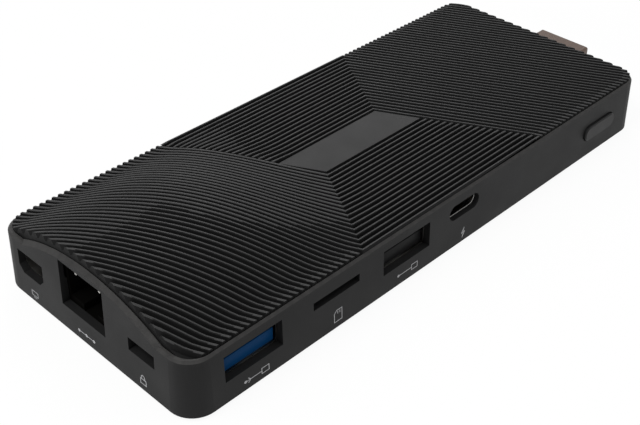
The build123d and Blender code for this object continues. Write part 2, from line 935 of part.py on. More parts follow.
def make_button():
    """The cap: a rounded bar through the wall, with a flange and a stem behind it."""
    cap_sketch = SlotOverall(button_width, button_height)
    cap = Rot(-90, 0, 0) * extrude(cap_sketch, flange_start() - button_face())
    rim = cap.edges().group_by(Axis.Y)[0]
    cap = Pos(0, button_face(), 0) * chamfer(rim, button_edge_radius)
    flange_sketch = SlotOverall(
        button_width + 2 * button_flange_margin, button_height + 2 * button_flange_margin,
    )
    flange = Pos(0, flange_start(), 0) * (Rot(-90, 0, 0) * extrude(flange_sketch, button_flange_thickness))
    stem = Rot(-90, 0, 0) * Cylinder(button_stem_radius, button_stem_length, align=LOW)
    stem = Pos(0, flange_end(), 0) * stem
    return side_port(button_from_front, 0, button_level) * (cap + flange + stem)


def make_plunger():
    start = switch_start() - switch_plunger_reach
    length = switch_plunger_reach + switch_plunger_root
    plunger = Pos(0, 0, -switch_plunger_height / 2) * mouth_block(
        switch_plunger_width, length, switch_plunger_height, start,
    )
    return side_port(button_from_front, 0, button_level) * plunger


def make_switch_body():
    start = switch_start() + switch_sheet
    body = mouth_block(switch_width, switch_depth - switch_sheet, switch_height, start)
    body = Pos(0, 0, -switch_height / 2) * body
    room = switch_plunger_root - switch_sheet + switch_plunger_room
    bore_width = switch_plunger_width + 2 * switch_plunger_gap
    bore_height = switch_plunger_height + 2 * switch_plunger_gap
    bore = Pos(0, 0, -bore_height / 2) * mouth_block(bore_width, room, bore_height, start)
    return side_port(button_from_front, 0, button_level) * (body - bore)


def make_switch_frame():
    """The thin metal plate on the switch's front, round its plunger."""
    plate = mouth_block(switch_width, switch_sheet, switch_height, switch_start())
    plate = Pos(0, 0, -switch_height / 2) * plate
    hole_width = switch_plunger_width + 2 * switch_plunger_gap
    hole_height = switch_plunger_height + 2 * switch_plunger_gap
    hole = Pos(0, 0, -hole_height / 2) * mouth_block(hole_width, switch_sheet, hole_height, switch_start())
    return side_port(button_from_front, 0, button_level) * (plate - hole)


# Pieces on the board


def deck_place(share):
    """A place on the board behind the side sockets, as shares of its length and depth."""
    return body_x + share[0] * body_length, from_side(deck_start + share[1] * deck_width)


def on_board(piece, share, height=board_top):
    x, y = deck_place(share)
    return Pos(x, y, level(height)) * piece


def slab(length, width, height):
    return Box(length, width, height, align=LOW)


def chip(size_shares, height):
    return slab(body_length * size_shares[0], deck_width * size_shares[1], height)


def under_board(piece_height):
    return board_bottom - piece_height


def make_processor():
    return on_board(chip(processor_size_shares, processor_height), processor_place_share)


def make_pad():
    return on_board(chip(pad_size_shares, pad_height), processor_place_share, board_top + processor_height)


def make_spreader():
    bottom = board_top + processor_height + pad_height
    plate = chip(spreader_size_shares, ledge_height - bottom)
    return on_board(plate, processor_place_share, bottom)


def make_memory():
    return [on_board(chip(memory_size_shares, memory_height), share) for share in memory_place_shares]


def make_storage():
    piece = chip(storage_size_shares, storage_height)
    return on_board(piece, storage_place_share, under_board(storage_height))


def make_regulators():
    piece = chip(regulator_size_shares, regulator_height)
    return [on_board(piece, share, under_board(regulator_height)) for share in regulator_place_shares]


def make_coils():
    piece = chip(coil_size_shares, coil_height)
    piece = chamfer(piece.edges().filter_by(Axis.Z), coil_bevel)
    return [on_board(piece, share) for share in coil_place_shares]


def make_capacitors():
    piece = chip(capacitor_size_shares, capacitor_height)
    return [on_board(piece, share) for share in capacitor_place_shares]


def make_crystals():
    piece = chip(crystal_size_shares, crystal_height)
    return [on_board(piece, share) for share in crystal_place_shares]


def make_network_chip():
    piece = chip(network_chip_size_shares, network_chip_height)
    return on_board(piece, network_chip_place_share)


def make_transformer():
    return on_board(chip(transformer_size_shares, transformer_height), transformer_place_share)


def make_radio_board():
    return on_board(chip(radio_size_shares, radio_thickness), radio_place_share)


def make_radio_shield():
    length = radio_length - 2 * radio_shield_margin
    width = radio_width - 2 * radio_shield_margin
    inner_length = length - 2 * radio_shield_sheet
    inner_width = width - 2 * radio_shield_sheet
    inner = slab(inner_length, inner_width, radio_shield_height - radio_shield_sheet)
    can = slab(length, width, radio_shield_height) - inner
    return on_board(can, radio_place_share, board_top + radio_thickness)


def antenna_y():
    return from_side(body_width - wall - antenna_wall_gap - antenna_thickness / 2)


def make_antennas():
    strip = slab(antenna_length, antenna_thickness, antenna_height)
    return [
        Pos(body_x + share * body_length, antenna_y(), level(board_top)) * strip
        for share in antenna_place_shares
    ]


def make_leads():
    """Thin leads from the radio board's corner to each antenna, along the far wall."""
    start_x, start_y = deck_place(radio_place_share)
    start_x += radio_length / 2 - lead_radius * 2
    z = level(board_top + radio_thickness) + lead_radius
    run_y = antenna_y() - antenna_thickness / 2 - lead_side_gap
    leads = []
    for number, share in enumerate(antenna_place_shares):
        step = number * lead_pitch
        end_x = body_x + share * body_length - antenna_length * lead_landing_share
        first = (start_x, start_y - step, z)
        points = [
            first,
            (start_x + lead_turn_reach - step, start_y - step, z),
            (start_x + lead_turn_reach - step, run_y - step, z),
            (end_x, run_y - step, z),
            (end_x, antenna_y() - antenna_thickness / 2 - lead_touch_gap, z),
        ]
        leads.append(points)
    return leads


def make_battery():
    cell = Cylinder(battery_radius, battery_height, align=LOW)
    return on_board(cell, battery_place_share, board_top + battery_clip_thickness)


def make_battery_clip():
    """A sheet clip: a strap under and over the cell, joined beyond its edge."""
    reach = 2 * (battery_radius + 2 * battery_clip_thickness)
    outer = slab(reach, battery_clip_width, battery_height + 2 * battery_clip_thickness)
    inner = Pos(0, 0, battery_clip_thickness) * slab(
        reach - 2 * battery_clip_thickness, battery_clip_width, battery_height,
    )
    return on_board(outer - inner, battery_place_share)


def make_antenna_leads():
    tubes = []
    for points in make_leads():
        path = FilletPolyline(*points, radius=2 * lead_radius)
        section = Plane(origin=path @ 0, z_dir=path % 0) * Circle(lead_radius)
        tubes.append(sweep(section, path=path))
    return tubes


def write(name, piece):
    """Writes one node, whose solids may be given as a list."""
    if isinstance(piece, list):
        piece = Compound(children=[solid for part in piece for solid in part.solids()])
    export_step(piece, f"parts/{name}.step")


def main():
    os.makedirs("parts", exist_ok=True)
    write("housing", make_housing())
    write("ribbed_cover", make_ribbed_cover())
    write("badge_plate", make_badge())
    write("bottom_cover", make_bottom_cover())
    write("feet", make_feet())
    write("bottom_screws", make_bottom_screws())
    write("main_board", make_board())
    write("board_screws", make_board_screws())

    usb3 = side_port(usb3_from_front, usb_recess, usb_bottom)
    usb2 = side_port(usb2_from_front, usb_recess, usb_bottom)
    for name, place, count in (("usb3", usb3, usb3_contact_count), ("usb2", usb2, usb2_contact_count)):
        write(f"{name}_shell", place * make_usb_shell())
        write(f"{name}_tongue", place * make_usb_tongue())
        write(f"{name}_contacts", [place * piece for piece in make_usb_contacts(count)])

    usbc = side_port(usbc_from_front, usbc_recess, board_top)
    write("usb_c_shell", usbc * make_usbc_shell())
    write("usb_c_tongue", usbc * make_usbc_tongue())
    write("usb_c_contacts", [usbc * piece for piece in make_usbc_contacts()])

    card = side_port(card_slot_from_front, card_recess, board_top)
    write("card_tray", card * make_card_base())
    write("card_cover", card * make_card_cover())
    write("card_contacts", [card * piece for piece in make_card_contacts()])
    write("card_slider", card * make_card_slider())
    write("card_spring", card * make_card_spring())

    jack = front_port(jack_from_side, jack_recess, jack_bottom)
    write("network_housing", jack * make_jack_housing())
    write("network_shield", jack * make_jack_shield())
    write("network_contacts", [jack * piece for piece in make_jack_contacts()])

    display = front_port(display_from_side, display_recess, display_bottom)
    write("display_shell", display * make_display_shell())
    write("display_tongue", display * make_display_tongue())
    write("display_contacts", [display * piece for piece in make_display_contacts()])

    write("lock_plate", front_port(lock_from_side, wall + fit_gap, board_top) * make_lock_plate())

    write("plug_shell", make_plug_shell())
    write("plug_insulator", make_plug_insulator())
    write("plug_contacts", make_plug_contacts())
    write("plug_holder", make_plug_holder())

    write("power_button", make_button())
    write("switch_plunger", make_plunger())
    write("switch_body", make_switch_body())
    write("switch_frame", make_switch_frame())

    write("processor", make_processor())
    write("thermal_pad", make_pad())
    write("heat_spreader", make_spreader())
    write("memory_chips", make_memory())
    write("storage_chip", make_storage())
    write("power_chips", make_regulators())
    write("power_coils", make_coils())
    write("capacitors", make_capacitors())
    write("crystals", make_crystals())
    write("network_chip", make_network_chip())
    write("network_transformer", make_transformer())
    write("radio_board", make_radio_board())
    write("radio_shield", make_radio_shield())
    write("antennas", make_antennas())
    write("antenna_leads", make_antenna_leads())
    write("clock_battery", make_battery())
    write("battery_clip", make_battery_clip())


main()
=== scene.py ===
from itertools import product
from math import cos, pi, radians, sin, sqrt, tan

import bmesh
import bpy
from mathutils import Matrix, Vector


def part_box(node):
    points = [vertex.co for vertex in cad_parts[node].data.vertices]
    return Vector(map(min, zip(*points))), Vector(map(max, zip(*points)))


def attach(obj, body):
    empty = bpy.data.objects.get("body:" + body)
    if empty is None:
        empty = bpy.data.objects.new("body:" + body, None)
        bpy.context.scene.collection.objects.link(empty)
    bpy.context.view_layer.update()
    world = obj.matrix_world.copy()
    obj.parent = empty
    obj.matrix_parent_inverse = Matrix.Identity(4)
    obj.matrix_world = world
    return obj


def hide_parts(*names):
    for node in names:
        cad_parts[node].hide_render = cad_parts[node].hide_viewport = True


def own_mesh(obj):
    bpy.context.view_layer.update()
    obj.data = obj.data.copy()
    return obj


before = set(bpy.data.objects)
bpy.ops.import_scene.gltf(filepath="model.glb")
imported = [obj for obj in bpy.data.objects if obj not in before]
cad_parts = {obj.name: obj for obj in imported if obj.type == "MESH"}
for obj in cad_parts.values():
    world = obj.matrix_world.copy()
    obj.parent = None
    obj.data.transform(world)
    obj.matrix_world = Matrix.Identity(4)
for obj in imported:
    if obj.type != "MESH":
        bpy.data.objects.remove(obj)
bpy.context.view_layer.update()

MM = 0.001

# The case, in millimetres from its front end, its socket side and the underside of its wall
CASE_LENGTH = 135.2
CASE_WIDTH = 54.8
WALL_TOP = 12.0
DRAFT = tan(radians(2.2))
FRONT_X = -72.7695
SIDE_Y = -27.2143
FOOT = 0.8

# The swirl of ribs, in plan about the middle of the case
CREST = 13.1
RIB_HEIGHT = 1.2
RIB_PAIRS = 48
RIB_TIP_HEIGHT = 1.1
RIB_SINK = 0.02
RIB_STEP = 1.5
PLATE_THICKNESS = 1.28
PLATE_ACROSS = 44
PLATE_ALONG = 84
RIB_PITCH = 1.2434
RIB_ANGLE = radians(61.43)
FIRST_RIB = 5.35
BADGE_CORNER_X = 12.0
BADGE_HALF_HEIGHT = 4.4
TURN = (pi - RIB_ANGLE) / 2
CREST_HALF = 0.13
SHOULDER_HALF = 0.24
FOOT_HALF = 0.5
SHOULDER_HEIGHT = 1.05
RIB_SECTION = (
    (-FOOT_HALF, 0.0), (-SHOULDER_HALF, SHOULDER_HEIGHT), (-CREST_HALF, RIB_HEIGHT),
    (CREST_HALF, RIB_HEIGHT), (SHOULDER_HALF, SHOULDER_HEIGHT), (FOOT_HALF, 0.0))
LEVEL_RIB_GAP = 0.35
SLANTED_RIB_HALF = 0.25
LONGEST_RIB = 90.0
COVER_END_INSET = 1.12
RIB_FRONT_INSET = 1.0
RIB_FAR_INSET = 0.35
COVER_SIDE_INSET = 0.62
CORNER_RADIUS = 4.8

# The hump over the network socket
HUMP_RISE = 5.93
HUMP_HALF_WIDTH = 23.9
HUMP_FLAT = 21.0
HUMP_RUN = 36.0
HUMP_FOOT_SHARE = 0.09  # how softly its foot runs out, as a share of its rise


def place(x, y, z):
    """A point of the case, in metres of the shared frame."""
    return Vector((FRONT_X + x, SIDE_Y + y, FOOT + z)) * MM


def mesh_piece(name, points, faces, material, sharp=30.0):
    mesh = bpy.data.meshes.new(name)
    mesh.from_pydata([tuple(point) for point in points], [], faces)
    mesh.validate()
    shape = bmesh.new()
    shape.from_mesh(mesh)
    if len(shape.faces) > 1:
        bmesh.ops.recalc_face_normals(shape, faces=shape.faces)
    shape.to_mesh(mesh)
    shape.free()
    mesh.update()
    mesh.shade_smooth()
    mesh.set_sharp_from_angle(angle=radians(sharp))
    piece = bpy.data.objects.new(name, mesh)
    bpy.context.scene.collection.objects.link(piece)
    mesh.materials.append(material)
    return piece


# Shared effects of the finishes


class EffectGroup:
    """A node group with named sockets, built once and placed in each material."""

    def __init__(self, name, inputs, outputs):
        self.tree = bpy.data.node_groups.new(name, "ShaderNodeTree")
        for label, kind, value in inputs:
            socket = self.tree.interface.new_socket(name=label, in_out="INPUT", socket_type=kind)
            if value is not None:
                socket.default_value = value
        for label, kind in outputs:
            self.tree.interface.new_socket(name=label, in_out="OUTPUT", socket_type=kind)
        self.source = self.tree.nodes.new("NodeGroupInput")
        self.result = self.tree.nodes.new("NodeGroupOutput")

    def add(self, kind, **values):
        return add_node(self.tree, kind, **values)

    def link(self, start, end):
        self.tree.links.new(start, end)


def add_node(tree, kind, **values):
    """Adds a shader node and sets its settings."""
    node = tree.nodes.new(kind)
    for key, value in values.items():
        setattr(node, key, value)
    return node


def math_node(tree, operation, first, second):
    """A maths node whose two inputs are sockets or plain numbers."""
    node = add_node(tree, "ShaderNodeMath", operation=operation)
    for index, value in enumerate((first, second)):
        if isinstance(value, (int, float)):
            node.inputs[index].default_value = value
        else:
            tree.links.new(value, node.inputs[index])
    return node.outputs[0]


def spread(tree, value, low, high):
    """Stretches a noise value to the range low to high."""
    node = add_node(tree, "ShaderNodeMapRange")
    tree.links.new(value, node.inputs["Value"])
    node.inputs["From Min"].default_value = 0.3
    node.inputs["From Max"].default_value = 0.7
    for label, end in (("To Min", low), ("To Max", high)):
        if isinstance(end, (int, float)):
            node.inputs[label].default_value = end
        else:
            tree.links.new(end, node.inputs[label])
    return node.outputs["Result"]


def make_grain_group():
    """The fine spark-eroded texture of moulded plastic, with faint broader mottling."""
    group = EffectGroup(
        "moulded_grain",
        [("Coordinates", "NodeSocketVector", None), ("Grain Scale", "NodeSocketFloat", 5200.0),
         ("Mottle Scale", "NodeSocketFloat", 130.0), ("Mottle", "NodeSocketFloat", 0.1)],
        [("Height", "NodeSocketFloat"), ("Shade", "NodeSocketFloat"), ("Roughness Shift", "NodeSocketFloat")],
    )
    tree = group.tree
    grain = group.add("ShaderNodeTexNoise")
    grain.inputs["Detail"].default_value = 3.0
    mottle = group.add("ShaderNodeTexNoise")
    mottle.inputs["Detail"].default_value = 4.0
    pits = group.add("ShaderNodeTexVoronoi")
    for texture, label in ((grain, "Grain Scale"), (mottle, "Mottle Scale"), (pits, "Grain Scale")):
        group.link(group.source.outputs["Coordinates"], texture.inputs["Vector"])
        group.link(group.source.outputs[label], texture.inputs["Scale"])
    pit_depth = math_node(tree, "MULTIPLY", pits.outputs["Distance"], 0.35)
    relief = math_node(tree, "ADD", grain.outputs["Fac"], pit_depth)
    group.link(relief, group.result.inputs["Height"])
    amount = group.source.outputs["Mottle"]
    broad = spread(tree, mottle.outputs["Fac"], math_node(tree, "SUBTRACT", 1.0, amount),
                   math_node(tree, "ADD", 1.0, amount))
    speck = spread(tree, grain.outputs["Fac"], math_node(tree, "SUBTRACT", 1.0, amount),
                   math_node(tree, "ADD", 1.0, amount))
    group.link(math_node(tree, "MULTIPLY", broad, speck), group.result.inputs["Shade"])
    group.link(spread(tree, mottle.outputs["Fac"], -0.05, 0.05), group.result.inputs["Roughness Shift"])
    return group.tree


def make_drawn_group():
    """The long faint lines of rolled sheet metal."""
    group = EffectGroup(
        "rolled_lines",
        [("Coordinates", "NodeSocketVector", None), ("Line Scale", "NodeSocketFloat", 900.0),
         ("Contrast", "NodeSocketFloat", 0.12)],
        [("Height", "NodeSocketFloat"), ("Shade", "NodeSocketFloat"), ("Roughness Shift", "NodeSocketFloat")],
    )
    tree = group.tree
    stretch = group.add("ShaderNodeVectorMath", operation="MULTIPLY")
    stretch.inputs[1].default_value = (0.06, 1.0, 1.0)
    group.link(group.source.outputs["Coordinates"], stretch.inputs[0])
    lines = group.add("ShaderNodeTexNoise")
    lines.inputs["Detail"].default_value = 5.0
    group.link(stretch.outputs[0], lines.inputs["Vector"])
    group.link(group.source.outputs["Line Scale"], lines.inputs["Scale"])
    stains = group.add("ShaderNodeTexNoise")
    stains.inputs["Scale"].default_value = 220.0
    group.link(group.source.outputs["Coordinates"], stains.inputs["Vector"])
    contrast = group.source.outputs["Contrast"]
    shade = spread(tree, lines.outputs["Fac"], math_node(tree, "SUBTRACT", 1.0, contrast),
                   math_node(tree, "ADD", 1.0, contrast))
    group.link(lines.outputs["Fac"], group.result.inputs["Height"])
    group.link(shade, group.result.inputs["Shade"])
    group.link(spread(tree, stains.outputs["Fac"], -0.08, 0.08), group.result.inputs["Roughness Shift"])
    return group.tree


def make_dust_and_sheen_group():
    """Pale dust and painted highlight on faces that look up, above a height of the object: on the case, the
    painted highlight lightens the rim band.
    """
    group = EffectGroup(
        "dust_and_painted_sheen",
        [("Coordinates", "NodeSocketVector", None), ("Normal", "NodeSocketVector", None),
         ("Colour", "NodeSocketColor", (0.0, 0.0, 0.0, 1.0)),
         ("Dust And Sheen Colour", "NodeSocketColor", (0.3, 0.29, 0.28, 1.0)), ("Amount", "NodeSocketFloat", 0.05),
         ("Above", "NodeSocketFloat", -1.0)],
        [("Colour", "NodeSocketColor"), ("Mask", "NodeSocketFloat")],
    )
    tree = group.tree
    part = group.add("ShaderNodeSeparateXYZ")
    group.link(group.source.outputs["Normal"], part.inputs[0])
    specks = group.add("ShaderNodeTexNoise")
    specks.inputs["Scale"].default_value = 700.0
    specks.inputs["Detail"].default_value = 6.0
    group.link(group.source.outputs["Coordinates"], specks.inputs["Vector"])
    spot = group.add("ShaderNodeSeparateXYZ")
    group.link(group.source.outputs["Coordinates"], spot.inputs[0])
    high_up = math_node(tree, "GREATER_THAN", spot.outputs["Z"], group.source.outputs["Above"])
    upward = math_node(tree, "MULTIPLY", math_node(tree, "MAXIMUM", part.outputs["Z"], 0.0), high_up)
    patchy = math_node(tree, "MULTIPLY", upward, spread(tree, specks.outputs["Fac"], 0.7, 1.3))
    mask = math_node(tree, "MULTIPLY", patchy, group.source.outputs["Amount"])
    mix = group.add("ShaderNodeMix", data_type="RGBA")
    group.link(mask, mix.inputs["Factor"])
    group.link(group.source.outputs["Colour"], mix.inputs["A"])
    group.link(group.source.outputs["Dust And Sheen Colour"], mix.inputs["B"])
    group.link(mix.outputs["Result"], group.result.inputs["Colour"])
    group.link(mask, group.result.inputs["Mask"])
    return group.tree


GRAIN = make_grain_group()
ROLLED = make_drawn_group()
DUST_AND_SHEEN = make_dust_and_sheen_group()


def place_group(tree, group, **values):
    """Places a shared effect in a material, with its own values."""
    node = tree.nodes.new("ShaderNodeGroup")
    node.node_tree = group
    for label, value in values.items():
        node.inputs[label.replace("_", " ")].default_value = value
    return node


def make_finish(name, colour, roughness, metallic=0.0, texture=GRAIN, depth=0.04, dust_and_sheen=0.0, gloss=0.5,
                above=-1.0, **values):
    """A material: a surface texture that shifts colour, roughness and relief, under a film of dust and
    painted highlight on faces that look up.
    """
    material = bpy.data.materials.new(name)
    material.use_nodes = True
    tree = material.node_tree
    shader = tree.nodes["Principled BSDF"]
    shader.inputs["Metallic"].default_value = metallic
    shader.inputs["Specular IOR Level"].default_value = gloss
    places = tree.nodes.new("ShaderNodeTexCoord").outputs["Object"]
    surface = place_group(tree, texture, **values)
    tree.links.new(places, surface.inputs["Coordinates"])
    mix = add_node(tree, "ShaderNodeMix", data_type="RGBA")
    mix.inputs["A"].default_value = tuple(channel * 0.5 for channel in colour) + (1.0,)
    mix.inputs["B"].default_value = tuple(channel * 1.6 for channel in colour) + (1.0,)
    share = add_node(tree, "ShaderNodeMapRange")
    share.inputs["From Min"].default_value = 0.5
    share.inputs["From Max"].default_value = 1.6
    tree.links.new(surface.outputs["Shade"], share.inputs["Value"])
    tree.links.new(share.outputs["Result"], mix.inputs["Factor"])
    dust_and_sheen_layer = place_group(tree, DUST_AND_SHEEN, Amount=dust_and_sheen, Above=above)
    geometry = tree.nodes.new("ShaderNodeNewGeometry")
    tree.links.new(places, dust_and_sheen_layer.inputs["Coordinates"])
    tree.links.new(geometry.outputs["Normal"], dust_and_sheen_layer.inputs["Normal"])
    tree.links.new(mix.outputs["Result"], dust_and_sheen_layer.inputs["Colour"])
    tree.links.new(dust_and_sheen_layer.outputs["Colour"], shader.inputs["Base Color"])
    gloss_shift = math_node(tree, "ADD", surface.outputs["Roughness Shift"], roughness)
    tree.links.new(gloss_shift, shader.inputs["Roughness"])
    bump = tree.nodes.new("ShaderNodeBump")
    bump.inputs["Strength"].default_value = 0.5
    bump.inputs["Distance"].default_value = depth * MM
    tree.links.new(surface.outputs["Height"], bump.inputs["Height"])
    tree.links.new(bump.outputs["Normal"], shader.inputs["Normal"])
    material.diffuse_color = (*colour, 1.0)
    return material


# The case's pale layer on up-facing faces above the wall top is painted highlight: it lightens the rim band
# where the bevel catches light.
case_plastic = make_finish(
    "case_plastic", (0.0105, 0.0105, 0.0107), 0.52, depth=0.05, dust_and_sheen=0.1,
    above=(FOOT + WALL_TOP - 0.5) * MM, gloss=0.13, Mottle=0.1)
# The ribs and the plate between them take a darker copy of the case's plastic: painted shade on the rib
# flanks and in the valleys.
rib_plastic_painted_shade = make_finish(
    "rib_plastic_painted_shade", (0.006, 0.006, 0.0061), 0.6, depth=0.03, gloss=0.1,
    Mottle=0.08)
# The rib crests take a lighter copy of the rib plastic: painted highlight along the rib tops.
crest_painted_highlight = make_finish(
    "crest_painted_highlight", (0.025, 0.025, 0.0253), 0.5, depth=0.02, dust_and_sheen=0.004, gloss=0.2,
    Mottle=0.08)
badge_satin = make_finish(
    "badge_satin", (0.0175, 0.0175, 0.0178), 0.5, depth=0.012, dust_and_sheen=0.006, gloss=0.12,
    Mottle=0.05)
button_plastic = make_finish(
    "button_plastic", (0.0095, 0.0095, 0.0097), 0.48, depth=0.03, gloss=0.18,
    Mottle=0.06)
foot_rubber = make_finish(
    "foot_rubber", (0.014, 0.014, 0.014), 0.85, depth=0.08, dust_and_sheen=0.02,
    Grain_Scale=2600.0)
# A darker copy of black nylon for the network housing and the display tongue: painted shade inside the deep
# socket mouths.
socket_painted_shade = make_finish(
    "socket_painted_shade", (0.0015, 0.0014, 0.0012), 0.6, depth=0.02, gloss=0.03,
    Mottle=0.08)
print_ink = make_finish("print_ink", (0.36, 0.36, 0.37), 0.6, depth=0.01, Mottle=0.08)
solder_mask = make_finish(
    "solder_mask", (0.006, 0.06, 0.03), 0.32, depth=0.02, Grain_Scale=1500.0,
    Mottle=0.12)
chip_mould = make_finish("chip_mould", (0.016, 0.016, 0.017), 0.6, depth=0.03, Grain_Scale=3800.0)
black_nylon = make_finish(
    "black_nylon", (0.005, 0.005, 0.0052), 0.45, depth=0.02, gloss=0.1,
    Mottle=0.08)
blue_nylon = make_finish(
    "blue_nylon", (0.0005, 0.033, 0.105), 0.45, depth=0.01, gloss=0.06,
    Mottle=0.06)
pad_silicone = make_finish("pad_silicone", (0.2, 0.23, 0.26), 0.8, depth=0.06, Grain_Scale=1600.0)
ferrite = make_finish("ferrite", (0.05, 0.05, 0.052), 0.65, depth=0.05, Grain_Scale=2400.0)
tantalum_case = make_finish("tantalum_case", (0.42, 0.24, 0.04), 0.5, depth=0.02)
lead_sleeve = make_finish("lead_sleeve", (0.05, 0.05, 0.052), 0.5, depth=0.01)
nickel_sheet = make_finish(
    "nickel_sheet", (0.42, 0.41, 0.39), 0.3, 1.0, ROLLED, depth=0.01,
    Contrast=0.12)
bright_nickel = make_finish(
    "bright_nickel", (0.34, 0.335, 0.325), 0.22, 1.0, ROLLED, depth=0.005,
    Contrast=0.08)
dim_nickel = make_finish(
    "dim_nickel", (0.2, 0.195, 0.185), 0.36, 1.0, ROLLED, depth=0.01,
    Contrast=0.15)
rose_plating = make_finish(
    "rose_plating", (0.1, 0.071, 0.058), 0.34, 1.0, ROLLED, depth=0.004,
    Contrast=0.1)
gold_plating = make_finish(
    "gold_plating", (0.75, 0.5, 0.18), 0.28, 1.0, ROLLED, depth=0.005,
    Contrast=0.1)
screw_zinc = make_finish(
    "screw_zinc", (0.35, 0.35, 0.36), 0.34, 1.0, ROLLED, depth=0.01,
    Line_Scale=1500.0)
plate_steel = make_finish("plate_steel", (0.22, 0.22, 0.23), 0.38, 1.0, ROLLED, depth=0.012)
spreader_aluminium = make_finish(
    "spreader_aluminium", (0.6, 0.6, 0.61), 0.36, 1.0, ROLLED, depth=0.012,
    Line_Scale=600.0)

FINISH_OF_NODE = {
    case_plastic: ["housing", "bottom_cover"],
    rib_plastic_painted_shade: ["ribbed_cover"],
    badge_satin: ["badge_plate"],
    button_plastic: ["power_button"],
    foot_rubber: ["feet"],
    screw_zinc: ["bottom_screws", "board_screws", "crystals"],
    solder_mask: ["main_board", "radio_board"],
    chip_mould: ["processor", "memory_chips", "storage_chip", "power_chips", "network_chip",
                 "network_transformer"],
    bright_nickel: ["usb_c_shell"],
    nickel_sheet: ["network_shield", "radio_shield", "battery_clip", "clock_battery", "antennas",
                   "switch_frame"],
    dim_nickel: ["usb3_shell", "usb2_shell", "display_shell", "card_cover", "card_spring"],
    rose_plating: ["plug_shell"],
    gold_plating: ["usb3_contacts", "usb2_contacts", "usb_c_contacts", "card_contacts",
                   "network_contacts", "display_contacts", "plug_contacts"],
    socket_painted_shade: ["network_housing", "display_tongue"],
    black_nylon: ["usb2_tongue", "usb_c_tongue", "card_tray", "card_slider", "plug_insulator",
                  "plug_holder", "switch_body", "switch_plunger"],
    blue_nylon: ["usb3_tongue"],
    plate_steel: ["lock_plate"],
    spreader_aluminium: ["heat_spreader"],
    pad_silicone: ["thermal_pad"],
    ferrite: ["power_coils"],
    tantalum_case: ["capacitors"],
    lead_sleeve: ["antenna_leads"],
}

for material, names in FINISH_OF_NODE.items():
    for name in names:
        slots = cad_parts[name].data.materials
        if len(slots) == 0:
            slots.append(material)
        for index in range(len(slots)):
            slots[index] = material


# The ribbed cover


def hump_rise(x, y):
    """The height of the hump over the level crest, at x from the front and y from the middle."""
    part_way = min(max((x - HUMP_FLAT) / HUMP_RUN, 0.0), 1.0)
    rise = HUMP_RISE * (1 - part_way * part_way * (3 - 2 * part_way))
    if rise < 0.001:
        return 0.0
    radius = (HUMP_HALF_WIDTH**2 + rise**2) / (2 * rise)
    arc = sqrt(radius**2 - y**2) - radius + rise
    return (arc + sqrt(arc**2 + (HUMP_FOOT_SHARE * rise) ** 2)) / 2


def half_width_at(x, end_inset):
    """Half the cover's width at x from the middle, with its rounded corners."""
    half_length = CASE_LENGTH / 2 - end_inset
    half_width = CASE_WIDTH / 2 - COVER_SIDE_INSET
    radius = CORNER_RADIUS - COVER_SIDE_INSET
    into_corner = abs(x) - (half_length - radius)
    if into_corner <= 0:
        return half_width
    into_corner = min(into_corner, radius)
    return half_width - radius + sqrt(radius**2 - into_corner**2)


def over_middle(x, y, z):
    """A point of the cover, from the middle of the case."""
    return place(CASE_LENGTH / 2 + x, CASE_WIDTH / 2 + y, z)


def cover_stations():
    """The cuts along the plate, closer together in its rounded corners."""
    half_length = CASE_LENGTH / 2 - COVER_END_INSET
    ends = [half_length - step for step in (0.0, 0.1, 0.35, 0.8, 1.4, 2.2, 3.1, 4.2)]
    inner = ends[-1]
    middle = [-inner + 2 * inner * number / PLATE_ALONG for number in range(1, PLATE_ALONG)]
    return [-x for x in ends] + middle + ends[::-1]


def make_cover_plate():
    """The plate under the ribs, closed, with its top at the valleys' height."""
    stations = cover_stations()
    across = PLATE_ACROSS
    points, faces = [], []
    for drop in (0.0, PLATE_THICKNESS):
        for x in stations:
            half = half_width_at(x, COVER_END_INSET)
            for number in range(across + 1):
                y = half * (2 * number / across - 1)
                height = CREST - RIB_HEIGHT + hump_rise(x + CASE_LENGTH / 2, y) - drop
                points.append(over_middle(x, y, height))
    row = across + 1
    layer = row * len(stations)
    for station in range(len(stations) - 1):
        for number in range(across):
            corner = station * row + number
            top = (corner, corner + row, corner + row + 1, corner + 1)
            faces.append(top)
            faces.append(tuple(layer + top[index] for index in (0, 3, 2, 1)))
    last = len(stations) - 1
    border = list(range(across + 1))
    border += [station * row + across for station in range(1, last)]
    border += [last * row + number for number in range(across, -1, -1)]
    border += [station * row for station in range(last - 1, 0, -1)]
    for index, corner in enumerate(border):
        following = border[(index + 1) % len(border)]
        faces.append((corner, following, layer + following, layer + corner))
    return points, faces


def corner_of_rib(number):
    """Where a rib turns from slanted to level, on the line from the badge's corner."""
    down = FIRST_RIB + number * RIB_PITCH
    along = BADGE_CORNER_X + (down - BADGE_HALF_HEIGHT) / tan(TURN)
    return -along, -down


def level_rib_end(down):
    """Where a level rib stops, short of the first slanted rib of the other half."""
    reach = (FIRST_RIB + down) / tan(RIB_ANGLE)
    return -corner_of_rib(0)[0] + reach - (SLANTED_RIB_HALF + LEVEL_RIB_GAP) / sin(RIB_ANGLE)


def inside(x, y):
    """Whether a rib may reach a point: up to the gap at the front end, and onto the rim at the far end."""
    inset = RIB_FAR_INSET if x > 0 else RIB_FRONT_INSET
    return abs(x) <= CASE_LENGTH / 2 - inset and abs(y) <= half_width_at(x, inset)


def edge_along(x, y, step_x, step_y, travel):
    """How far a line from x, y stays inside, up to travel, when it starts inside."""
    low, high = 0.0, travel
    if inside(x + step_x * travel, y + step_y * travel):
        return travel
    for _ in range(26):
        middle = (low + high) / 2
        if inside(x + step_x * middle, y + step_y * middle):
            low = middle
        else:
            high = middle
    return low


